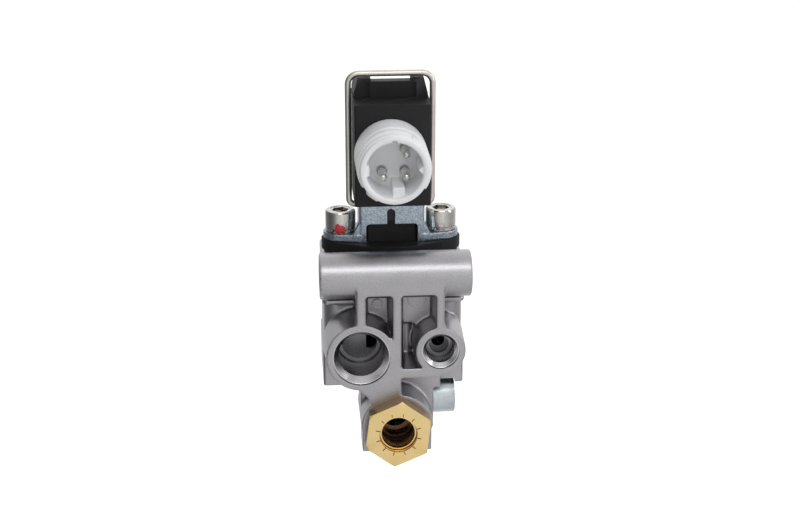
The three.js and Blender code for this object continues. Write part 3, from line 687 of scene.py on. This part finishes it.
def inlet_web():
    """The web from the large port down to the inlet, with a curved left edge."""
    curve = arc((-14.6, -21.4), 6.3, 62.0, 0.0, 10)
    outline = [(-14.0, -8.0), *curve, (-8.3, -28.0), (1.5, -28.0), (1.5, -8.0)]
    return prism("web", "y", outline, FRONT_Y, POCKET_Y + 1)


def block_outline(half_x, front, corner, steps=6):
    """The body seen from above, with its own radius on the front corners."""
    rear = 1.5
    return rounded([(-half_x, front, corner), (half_x, front, corner),
                    (half_x, 0, rear), (-half_x, 0, rear)], corner, steps)


def cast_solids():
    """Everything the die fills, as a heap of overlapping solids."""
    lower_boss = arc(INLET, 11.0, 180.0, 360.0, 40) + arc(INLET, 11.8, 0.0, 180.0, 40)
    solids = [
        prism("top", "z", block_outline(WIDE_HALF_X, TOP_Y, 2), LEDGE[0], BODY_TOP),
        prism("ledge", "z", block_outline(WIDE_HALF_X, LEDGE_Y, 2), *LEDGE),
        prism("main", "z", block_outline(BODY_HALF_X, OUTER_Y, 5, 12), FOOT_TOP - 1, LEDGE[0] + 1),
        prism("foot", "z", block_outline(WIDE_HALF_X, OUTER_Y, 0.8), BODY_BOTTOM, FOOT_TOP),
        front_plate(),
        body_core(),
        inlet_web(),
        rod("column", "z", (4.1, -28.2), -10.0, 4.0, 2.3, steps=32),
        rod("tower", "z", (0, VALVE_Y), TOWER_BOTTOM, BODY_BOTTOM + 1, 9.8),
        box("saddle", (-11.2, 12.95), (POCKET_Y, VALVE_Y - 2), (-32, BODY_BOTTOM + 1)),
        rod("cross", "x", CROSS_CENTRE, -CROSS_HALF, CROSS_HALF, CROSS_RADIUS, steps=128),
        rod("large_boss", "y", LARGE_PORT, FRONT_Y, OUTER_Y + 1, 11.3, 12.1, 128),
        rod("small_boss", "y", SMALL_PORT, FRONT_Y, OUTER_Y + 1, 8.1, 8.7, 128),
        prism("inlet_boss", "y", lower_boss, FRONT_Y, VALVE_Y - 4),
        box("inlet_foot", (INLET[0] - 11.4, INLET[0] + 11.2), (FRONT_Y, POCKET_Y), (-37, INLET[1])),
    ]
    return heap(*solids)


def machined_tools(materials):
    """Everything that is cut into the raw casting: bores in a darker machined colour as painted shade,
    with bright mouths.
    """
    front = FRONT_Y - 1
    tools = [
        turned("large", "y", LARGE_PORT, [
            (0, front), (9.45, front), (9.3, FRONT_Y + 0.1), (9.1, -41.1), (8.9, -41.1),
            (7.35, MOUTH_Y), (7.35, -28.1), (7.0, -27.7), (5.8, -27.7), (5.8, -20), (0, -20)], 128),
        turned("small", "y", SMALL_PORT, [
            (0, front), (6.2, front), (6.05, FRONT_Y + 0.1), (5.9, -41.2), (5.7, -41.2), (4.65, -40),
            (4.65, -35.6), (4.4, -35.3), (3.2, -35.3), (3.2, -31.7), (2.2, -31.7), (2.2, -14),
            (0, -14)], 96),
        turned("inlet", "y", INLET, [
            (0, front), (9.4, front), (9.4, FRONT_Y + 0.9), (8.4, FRONT_Y + 0.9), (8.4, -31),
            (4.4, -31), (4.4, VALVE_Y), (0, VALVE_Y)], 96),
        turned("cross_bore", "x", CROSS_CENTRE, [
            (0, -26), (5.9, -26), (4.5, -CROSS_HALF + 0.7), (4.5, CROSS_HALF - 0.7), (5.9, 26),
            (0, 26)], 96),
        turned("piston_bore", "z", (0, VALVE_Y), [
            (0, 24), (10.8, 24), (10, 22.4), (10, -10.5), (4.4, -10.5), (4.4, -12),
            (6.5, -12), (6.5, -38.3), (7.3, -38.3), (7.3, -39), (6.5, -39), (7.2, -41), (0, -41)]),
        rod("gallery", "x", (-16, SMALL_PORT[1]), 6, SMALL_PORT[0], 2.2, steps=48),
        rod("plug_thread", "x", SIDE_PLUG, 2, 12.75, 3.4, steps=48),
        rod("plug_face", "x", SIDE_PLUG, 11.65, 14, 5.4, steps=64),
        rod("plug_relief", "x", SIDE_PLUG, 13, 20.9, 6.1, steps=96),
        box("front_relief", (13, 20.5), (-28.5, -24.6), (-20.5, -18.0)),
    ]
    for side in (-1, 1):
        tools.append(turned("screw_hole", "z", (side * SCREW_X, VALVE_Y), [
            (0, 8), (3, 8), (3, 22.5), (3.6, 24), (0, 24)], 48))
        tools.append(turned("rear_hole", "y", (side * 17, -5), [
            (0, -13.5), (3.4, -12), (3.4, -0.5), (4.2, 0.5), (0, 0.5)], 48))
    # Bore walls take the darker machined colour as painted shade; faces in front of MOUTH_Y keep the
    # bright machined finish.
    for tool in tools:
        coat(tool, materials["bore"])
        recoat(tool, materials["machined"], lambda centre, normal: centre.y < MOUTH_Y)
    return tools


def ejector_marks():
    """Faint round marks that the die leaves on the pocket walls."""
    marks = []
    for centre, radius in (((-5.6, 11.0), 1.7), ((7.2, 12.2), 2.9)):
        marks.append(turned("mark", "y", centre, [
            (radius - 0.35, POCKET_Y + 0.5), (radius, POCKET_Y + 0.5), (radius, POCKET_Y - 0.06),
            (radius - 0.12, POCKET_Y - 0.16), (radius - 0.35, POCKET_Y - 0.1)], 48))
    return marks


def cast_body(materials):
    """The raw casting, then its machining, then the die's marks."""
    body = remesh(cast_solids(), 0.38, 5)
    body.name = "cast_body"
    coat(body, materials["casting"])
    cut(body, *machined_tools(materials))
    marks = ejector_marks()
    for mark in marks:
        coat(mark, materials["casting"])
    add(body, *marks)
    present(body, "valve", "casting", "valve_body")


# ---- Fitting and side plug ----------------------------------------------

def brass_fitting(materials):
    """A hexagon with a barely broken front edge, slits round its hole and a shank."""
    corner = HEX_FLATS / math.sqrt(3)
    fitting = prism("brass_fitting", "y", hexagon(HEX_FLATS, INLET, HEX_TURN),
                    HEX_FRONT_Y, FRONT_Y - GAP)
    chamfer = turned("chamfer", "y", INLET, [
        (0, HEX_FRONT_Y), (corner - 0.8, HEX_FRONT_Y), (corner - 0.6, HEX_FRONT_Y + 0.05),
        (corner + 0.7, HEX_FRONT_Y + 0.8), (corner + 0.7, FRONT_Y), (0, FRONT_Y)], 128)
    combine(fitting, [chamfer], "INTERSECT")
    add(fitting, rod("shank", "y", INLET, FRONT_Y - 1, -31.1, 8.25))
    coat(fitting, materials["brass"])
    # The hexagon's side facets take the darker brass: painted shade.
    recoat(fitting, materials["brass_facet_shade"], lambda centre, normal: abs(normal.y) < 0.1)
    passage = turned("passage", "y", INLET, [
        (0, -48), (6.4, -48), (6.15, -46.8), (6.15, -44.6), (7.25, -44.6), (7.25, -36.5),
        (5, -36.5), (5, -30), (0, -30)], 128)
    slits = []
    half_width, inner, outer = 0.17, 5.9, 7.5
    for degrees in range(17, 360, 30):
        angle = math.radians(degrees)
        along = Vector((math.cos(angle), math.sin(angle)))
        across = Vector((-along.y, along.x)) * half_width
        near, far = Vector(INLET) + along * inner, Vector(INLET) + along * outer
        outline = [near - across, far - across, far + across, near + across]
        slits.append(prism("slit", "y", [tuple(p) for p in outline], -48, -46.3))
    # Passage and slits take the darker brass as painted shade; only the front of the passage stays
    # bright brass.
    for tool in (passage, *slits):
        coat(tool, materials["brass_bore"])
    recoat(passage, materials["brass"], lambda centre, normal: centre.y < -44.7)
    cut(fitting, passage, *slits)
    present(fitting, "valve", "brass", "fitting_body")


def release_collet(materials):
    """The ring that grips the pipe, its inner part in darker brass as painted shade and its lip in
    bright brass.
    """
    collet = turned("release_collet", "y", INLET, [
        (5.3, -45.3), (5.4, -45.5), (5.85, -45.5), (6.0, -45.3), (6.0, -44.3), (7.0, -44.3),
        (7.0, -42.5), (6.4, -42.5), (6.4, -40), (5.7, -40), (5.7, -43.4), (5.3, -44.2)], 96)
    coat(collet, materials["brass_bore"])
    recoat(collet, materials["brass"], lambda centre, normal: centre.y < -44.1)
    present(collet, "fitting_collet", "brass", "fitting_collet")


def zinc_plug(materials):
    """The side plug: thread, round head and hexagon socket."""
    head = turned("zinc_plug", "x", SIDE_PLUG, [
        (0, 5.8), (3.3, 5.8), (3.3, 12.75), (5.6, 12.75), (5.95, 13.1), (5.95, 20.0), (5.8, 20.3),
        (5.5, 20.4), (0, 20.4)], 96)
    cut(head, prism("key", "x", hexagon(5, SIDE_PLUG, 0), 16.8, 21))
    coat(head, materials["plug_zinc"])
    present(head, "valve", "zinc_plate", "side_plug")


# ---- Pilot head ---------------------------------------------------------

def screw_tools(low, high):
    """Clearance holes for the two screws."""
    return [rod("hole", "z", (side * SCREW_X, VALVE_Y), low, high, 3.3, steps=48)
            for side in (-1, 1)]


def head_plates(materials):
    """The gasket and the base plate under the housing."""
    gasket = prism("head_gasket", "z", lozenge(21.85, 11.2, 6), 23.05, 23.5)
    cut(gasket, rod("opening", "z", (0, VALVE_Y), 22, 24, 9), *screw_tools(22, 24))
    coat(gasket, materials["rubber"])
    present(gasket, "valve", "black_rubber", "flange_gasket")
    base = prism("head_base", "z", lozenge(22.05, 11.4, 6), 23.55, SEAM_Z)
    cut(base, rod("vent", "z", (4, VALVE_Y), 22, 27, 1.2, steps=24), *screw_tools(22, 27))
    bevel(base, 0.25, 2)
    coat(base, materials["black"])
    present(base, "valve", "black_plastic", "pilot_base", flat_faces=True)


def head_housing(materials):
    """The flange and its block, with a thin lip that closes the bracket's slot."""
    housing = prism("head_housing", "z", lozenge(22.85, 12.1, 6), SEAM_Z + GAP, FLANGE_TOP)
    block = prism("block", "z", rounded(rectangle(-8, 8, VALVE_Y - 5.4, VALVE_Y + 5.4), 0.6),
                  FLANGE_TOP - 1, PILOT_TOP)
    front = VALVE_Y - 5.58
    step = PILOT_TOP - 0.1
    lip = prism("lip", "x", [(front, 35.5), (front + 0.3, 35.5), (front + 0.3, step),
                             (front + 0.1, step), (front + 0.1, 40), (front, 40)], -2, 2)
    add(housing, block)
    chamber = turned("chamber", "z", (0, VALVE_Y), [
        (0, 41), (3.6, 41), (3.6, 33), (1.9, 33), (1.9, 24), (0, 24)])
    cut(housing, chamber, *screw_tools(24, 29))
    bevel(housing, 0.35)
    add(housing, lip)
    coat(housing, materials["black"])
    present(housing, "valve", "black_plastic", "pilot_housing", flat_faces=True)


def clamp_bracket(materials):
    """The clamp over the housing: two side walls under a roof, windows front and back,
    a slot in the front, and two screwed wings with gussets."""
    half_x, half_y, wall, face = 10.65, 7.0, 2.3, 1.4
    low = FLANGE_TOP + GAP
    below, above = 20, 50
    front, back = VALVE_Y - half_y, VALVE_Y + half_y
    shell = prism("clamp_bracket", "z", rounded(rectangle(-half_x, half_x, front, back), 1.0),
                  low, BRACKET_TOP)
    parts = [prism("wings", "z", lozenge(22.2, half_y, half_x), low, WING_TOP)]
    for side in (-1, 1):
        curve = arc((side * (half_x + 1.1), WING_TOP + 1.1), 1.1, 270, 270 - 90 * side, 6)
        fillet = [*curve, (side * (half_x - 0.5), WING_TOP + 1.1),
                  (side * (half_x - 0.5), WING_TOP - 0.5), (side * (half_x + 1.1), WING_TOP - 0.5)]
        parts.append(prism("fillet", "y", fillet, front + 0.6, back - 0.6))
        web = [(side * (half_x - 1), WING_TOP - 1), (side * (half_x + 2), WING_TOP - 1),
               (side * (half_x + 2), WING_TOP), (side * half_x, WING_TOP + 4),
               (side * (half_x - 1), WING_TOP + 4)]
        parts.append(prism("gusset", "y", web, front + 0.3, front + 2.9))
    add(shell, *parts)
    slot = [(-1.6, below), *reversed(arc((-0.35, 38.6), 1.25, 0, 180, 12)), (0.9, below)]
    inside = half_x - wall
    window = rounded([(-inside, below, 0), (-inside, WINDOW_TOP, 1.0),
                      (inside, WINDOW_TOP, 1.0), (inside, below, 0)], 1.0)
    tools = [
        box("inside", (-inside, inside), (front + face, back - face), (below, INSIDE_TOP)),
        prism("window", "y", window, VALVE_Y - 20, VALVE_Y + 20),
        prism("slot", "y", slot, VALVE_Y - 20, VALVE_Y - 5),
        rod("tube", "z", (0, VALVE_Y), below, above, 5.5),
        rod("pivots", "x", (VALVE_Y, PIVOT_Z), -20, 20, 1.1, steps=32),
    ]
    cut(shell, *tools, *screw_tools(below, 40))
    remesh(shell, 0.2, 3)
    coat(shell, materials["zinc"])
    present(shell, "valve", "zinc_plate", "retaining_bracket")


def head_screw(label, side, materials):
    """A socket cap screw and the split washer under its head."""
    centre = (side * SCREW_X, VALVE_Y)
    low, high = WING_TOP + GAP, HEAD_Z - GAP
    washer = turned(f"head_washer_{label}", "z", centre, [
        (3.2, low), (4.85, low), (4.95, low + 0.1), (4.95, high - 0.1), (4.85, high), (3.2, high)])
    split = prism("split", "y", [
        (centre[0] - 3.3, low - 0.2), (centre[0] - 2.9, low - 0.2),
        (centre[0] - 2.1, high + 0.2), (centre[0] - 2.5, high + 0.2)], -22, VALVE_Y)
    cut(washer, split)
    coat(washer, materials["nickel"])
    present(washer, "valve", "nickel_plate", f"washer_{label}")
    screw = turned(f"head_screw_{label}", "z", centre, [
        (0, 10), (2.3, 10), (2.9, 10.6), (2.9, HEAD_Z), (4.75, HEAD_Z), (5, HEAD_Z + 0.25),
        (5, HEAD_Z + 5.1), (4.93, HEAD_Z + 5.5), (4.7, HEAD_Z + 5.8), (4.35, HEAD_Z + 5.9),
        (3.45, HEAD_Z + 5.9), (3.3, HEAD_Z + 5.75), (0, HEAD_Z + 5.4)], 128)
    key = hexagon(5, centre, 20 * side)
    socket = prism("socket", "z", key, HEAD_Z + 3, HEAD_Z + 7)
    tip = turned("tip", "z", centre, [
        (0, HEAD_Z + 2), (2.4, HEAD_Z + 3.1), (0, HEAD_Z + 3.1)], 48)
    cut(screw, socket, tip)
    coat(screw, materials["nickel"])
    present(screw, "valve", "nickel_plate", f"cap_screw_{label}")


def lacquer_dab(materials):
    """One run of lacquer round the left screw's head and down onto its washer.

    Its edge is drawn as (distance round the head, z).
    """
    edge = rounded([
        (-2.0, 33.1), (-1.7, 34.3), (-0.9, 34.6), (-0.3, 33.9), (0.5, 34.0), (1.3, 33.2),
        (1.0, 32.4), (1.5, 31.7), (1.1, 31.15), (0.1, 31.35), (-0.8, 31.15), (-1.5, 31.3),
        (-2.2, 31.9)], 0.3, 3)
    centre = Vector((-0.35, 32.7))
    sections = [(5.01, 1.0), (5.2, 1.0), (5.38, 0.93), (5.52, 0.78), (5.6, 0.5), (5.63, 0.2)]
    rings = []
    for radius, size in sections:
        ring = []
        for corner in edge:
            across, z = centre + (Vector(corner) - centre) * size
            angle = across / HEAD_RADIUS - math.pi / 2
            ring.append((radius * math.cos(angle) - SCREW_X, radius * math.sin(angle) + VALVE_Y, z))
        rings.append(ring)
    dab = skin("lacquer_dab", rings)
    coat(dab, materials["lacquer"])
    present(dab, "valve", "red_paint", "tamper_mark", sharp=60.0)


# ---- Bail ---------------------------------------------------------------

def bail_path():
    """(x, z) along the wire: foot, leg, crossbar, leg and foot."""
    half, high = 13.6, 83.1
    foot, bend, end = 2.0, 3.5, 8.8
    left = [(-end, PIVOT_Z), *reversed(arc((foot - half, PIVOT_Z + foot), foot, 180, 270, 8))]
    left += reversed(arc((bend - half, high - bend), bend, 90, 180, 10))
    right = [(-x, z) for x, z in reversed(left)]
    return left + right


def wire_bail(materials):
    """The bail, swept along its path with a small chamfer at each end."""
    path = [Vector(p) for p in bail_path()]
    radius, end_radius, chamfer, sides = 1.0, 0.75, 0.25, 24

    def ring(centre, tangent, size):
        normal = Vector((-tangent.y, tangent.x))
        points = []
        for i in range(sides):
            angle = 2 * math.pi * i / sides
            flat = centre + normal * (size * math.cos(angle))
            points.append((flat.x, VALVE_Y + size * math.sin(angle), flat.y))
        return points

    rings = []
    last = len(path) - 1
    for i, centre in enumerate(path):
        tangent = (path[min(i + 1, last)] - path[max(i - 1, 0)]).normalized()
        if i == 0:
            rings.append(ring(centre, tangent, end_radius))
            centre = centre + tangent * chamfer
        elif i == last:
            rings.append(ring(centre - tangent * chamfer, tangent, radius))
        rings.append(ring(centre, tangent, end_radius if i == last else radius))
    bail = skin("wire_bail", rings)
    coat(bail, materials["wire"])
    present(bail, "bail", "spring_steel", "bail_clip", sharp=50.0)


# ---- Coil block ---------------------------------------------------------

def coil_case(materials):
    """The coil block and the bridge between two posts that holds the bail."""
    case = prism("coil_case", "z", rounded(rectangle(
        -COIL_HALF_X, COIL_HALF_X, VALVE_Y - COIL_HALF_Y, VALVE_Y + COIL_HALF_Y), 0.8),
        COIL_BOTTOM, COIL_TOP)
    front, back = VALVE_Y - 2, VALVE_Y + 2
    root = COIL_TOP - 1
    parts = [
        box("middle", (-8.4, 8.4), (VALVE_Y - 1.3, VALVE_Y + 1.3), (root, BRIDGE_TOP - 1.2)),
        box("lip", (-6.75, 6.75), (front, back), (root, BRIDGE_TOP - 1)),
    ]
    for side in (-1, 1):
        outline = [(side * 8.2, root), (side * 11.9, root), (side * 11.9, COIL_TOP + 1.2),
                   (side * 10.6, BRIDGE_TOP), (side * 8.2, BRIDGE_TOP)]
        parts.append(prism("post", "y", outline, front, -3.2))
        parts.append(box("cap", sorted((side * 6.4, side * 8.4)), (front, back),
                         (BRIDGE_TOP - 1.3, BRIDGE_TOP)))
    add(case, *parts)
    cavity = rod("cavity", "z", (0, VALVE_Y), COIL_BOTTOM - 1, 73.3, 10.9)
    slope = prism("slope", "x", [(back, BRIDGE_TOP), (-3, 79.9), (-3, 83), (back, 83)], -13, 13)
    cut(case, cavity, slope)
    bevel(case, 0.4)
    coat(case, materials["black"])
    present(case, "valve", "black_plastic", "coil_housing", flat_faces=True)


# ---- Connector ----------------------------------------------------------

def sector(name, outer, start, end, low, high, steps=32):
    """Part of a raised band on the connector, its angles counted from +X."""
    inner = 10.2
    outline = arc(PLUG, outer, start, end, steps) + arc(PLUG, inner, end, start, steps)
    return prism(name, "y", outline, low, high)


def pin_places():
    return [(PIN_CENTRE_X + PIN_OFFSET * u, PLUG[1] + PIN_OFFSET * v)
            for u, v in ((-1, -1), (1, -1), (1, 1))]


def plug_keys():
    """The keys that stick into the connector's cavity."""
    x, z = PLUG
    start, floor = PLUG_RIM_Y + 0.6, PLUG_FLOOR_Y + 1
    return [
        box("key", (x - 0.4, x + 3.3), (PLUG_RIM_Y + 2.4, floor), (z - 9.4, z - 5.9)),
        box("rib", (x - 9.4, x - 7.8), (start, floor), (z - 1.6, z + 1.6)),
        prism("tab", "y", [(x + 9.4, z - 1.9), (x + 7.3, z), (x + 9.4, z + 1.9)], start, floor),
    ]


def plug_shell(materials):
    """The connector: a shell with bayonet ramps outside and keys inside."""
    rim = PLUG_RIM_Y
    base = VALVE_Y - COIL_HALF_Y - GAP
    floor = PLUG_FLOOR_Y
    solid = turned("plug_shell", "y", PLUG, [
        (0, base), (PLUG_RADIUS, base), (PLUG_RADIUS, rim + 9.2), (11.45, rim + 8.9),
        (10.7, rim + 8.7), (10.7, rim + 0.45), (10.65, rim + 0.15), (10.3, rim), (9.35, rim),
        (8.95, rim + 0.3), (PLUG_CAVITY, rim + 0.6), (PLUG_CAVITY, floor), (0, floor)], 128)
    bands = [
        sector("ramp", PLUG_RADIUS, 20, 214, rim + 4.6, rim + 7.6),
        sector("ramp", PLUG_RADIUS, -20, 60, rim + 2.0, rim + 5.2),
        sector("ramp", 11.3, 60, 190, rim + 1.3, rim + 3.2),
        sector("lug", PLUG_RADIUS, 222, 243, rim + 2.4, rim + 5.6, 8),
        sector("lug", PLUG_RADIUS, -34, -20, rim + 1.9, rim + 5.6, 8),
    ]
    shell = remesh(heap(solid, *bands, *plug_keys()), 0.24, 2)
    coat(shell, materials["shell"])
    tools = [
        box("notch", (PLUG[0] - 0.8, PLUG[0] + 0.8), (rim - 1, floor + 2),
            (PLUG[1] + 8, PLUG[1] + 9.7)),
    ]
    for place in pin_places():
        tools.append(turned("recess", "y", place, [
            (0, floor - 1), (1.75, floor - 1), (1.75, floor + 0.8), (PIN_RADIUS + GAP, floor + 0.8),
            (PIN_RADIUS + GAP, base + 1), (0, base + 1)], 48))
    for tool in tools:
        coat(tool, materials["shell"])
    cut(shell, *tools)
    present(shell, "valve", "grey_plastic", "connector_shell")


def contact_pins(materials):
    """Three pins with round noses."""
    nose_length = 1.1
    root = VALVE_Y - COIL_HALF_Y - 2 * GAP
    nose = []
    for degrees in range(0, 91, 15):
        angle = math.radians(degrees)
        nose.append((PIN_RADIUS * math.sin(angle), PIN_TIP_Y + nose_length * (1 - math.cos(angle))))
    for i, centre in enumerate(pin_places()):
        pin = turned(f"pin_{i + 1}", "y", centre, [*nose, (PIN_RADIUS, root), (0, root)], 48)
        coat(pin, materials["nickel"])
        present(pin, "valve", "nickel_plate", f"contact_pin_{i + 1}")


# ---- Pieces underneath and inside ---------------------------------------

def bottom_pieces(materials):
    """The cap at the end of the inlet tower and the ring that holds it."""
    cap = turned("cap_disc", "z", (0, VALVE_Y), [
        (0, -35.4), (4, -35.4), (4, -34.0), (6.4, -34.0), (6.4, -34.8), (5.2, -34.8),
        (5.2, -36.7), (6.4, -36.7), (6.4, -38.0), (6.2, -38.2), (2.2, -38.2), (2.0, -38.0),
        (0, -38.0)])
    coat(cap, materials["piston"])
    present(cap, "valve", "piston_alloy", "bottom_cap")
    ring = loft("snap_ring", "z", [
        (z, arc((0, VALVE_Y), 7.1, -70, 250, 64) + arc((0, VALVE_Y), 5.3, 250, -70, 64))
        for z in (-38.9, -38.4)])
    bevel(ring, 0.1, 2)
    coat(ring, materials["wire"])
    present(ring, "valve", "spring_steel", "circlip")


def inner_spring(node, radius, wire, ends, turns, materials):
    """A compression spring with closed ends."""
    low, high = ends
    steps, sides, closed = 24 * turns, 10, 0.08
    rings = []
    for i in range(steps + 1):
        angle = 2 * math.pi * turns * i / steps
        outward = Vector((math.cos(angle), math.sin(angle), 0))
        rise = min(max((i / steps - closed) / (1 - 2 * closed), 0.0), 1.0)
        height = low + wire + (high - low - 2 * wire) * rise
        centre = Vector((0, VALVE_Y, height)) + outward * radius
        ring = []
        for k in range(sides):
            turn = 2 * math.pi * k / sides
            up = Vector((0, 0, wire * math.sin(turn)))
            ring.append(centre + outward * (wire * math.cos(turn)) + up)
        rings.append(ring)
    coil = skin(f"inner_{node}", rings)
    coat(coil, materials["wire"])
    present(coil, "valve", "spring_steel", node, sharp=50.0)
    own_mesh(coil)


def inner_springs(materials):
    inner_spring("piston_spring", 6.6, 0.6, (-10.45, 10.1), 5, materials)
    inner_spring("poppet_spring", 3.3, 0.45, (-35.3, -15.1), 7, materials)
    inner_spring("armature_spring", 1.4, 0.25, (53.1, 61.9), 7, materials)


INNER_FINISHES = {
    "rubber": ["tube_seal", "fitting_seal", "side_plug_seal", "piston_seal", "valve_poppet",
               "bottom_cap_seal", "pilot_seal", "guide_tube_seal", "armature_seal"],
    "steel": ["guide_tube", "fixed_core", "armature", "coil_yoke"],
    "piston": ["relay_piston"],
    "brass": ["pilot_nozzle"],
    "bobbin": ["coil_bobbin"],
    "copper": ["coil_winding"],
}


def finish_inner_nodes(materials):
    """CAD nodes that keep their shape get a procedural finish."""
    for key, names in INNER_FINISHES.items():
        for name in names:
            node = frame["nodes"][name]
            for i in range(len(node.material_slots)):
                node.material_slots[i].material = materials[key]
            if not node.material_slots:
                node.data.materials.append(materials[key])


# ---- Scene --------------------------------------------------------------

add_camera()
add_world()
add_softbox("key", (0.06, -0.62, 0.66), (0, -0.03, 0.02), (0.6, 0.22), 1.1)
add_softbox("right", (0.75, -0.25, 0.3), (0, -0.02, 0.02), (0.2, 0.6), 1.2)
add_floor()
bpy.context.scene.view_settings.view_transform = "Standard"

made = make_materials()
cast_body(made)
brass_fitting(made)
release_collet(made)
zinc_plug(made)
head_plates(made)
head_housing(made)
clamp_bracket(made)
head_screw("left", -1, made)
head_screw("right", 1, made)
lacquer_dab(made)
wire_bail(made)
coil_case(made)
plug_shell(made)
contact_pins(made)
bottom_pieces(made)
inner_springs(made)
finish_inner_nodes(made)
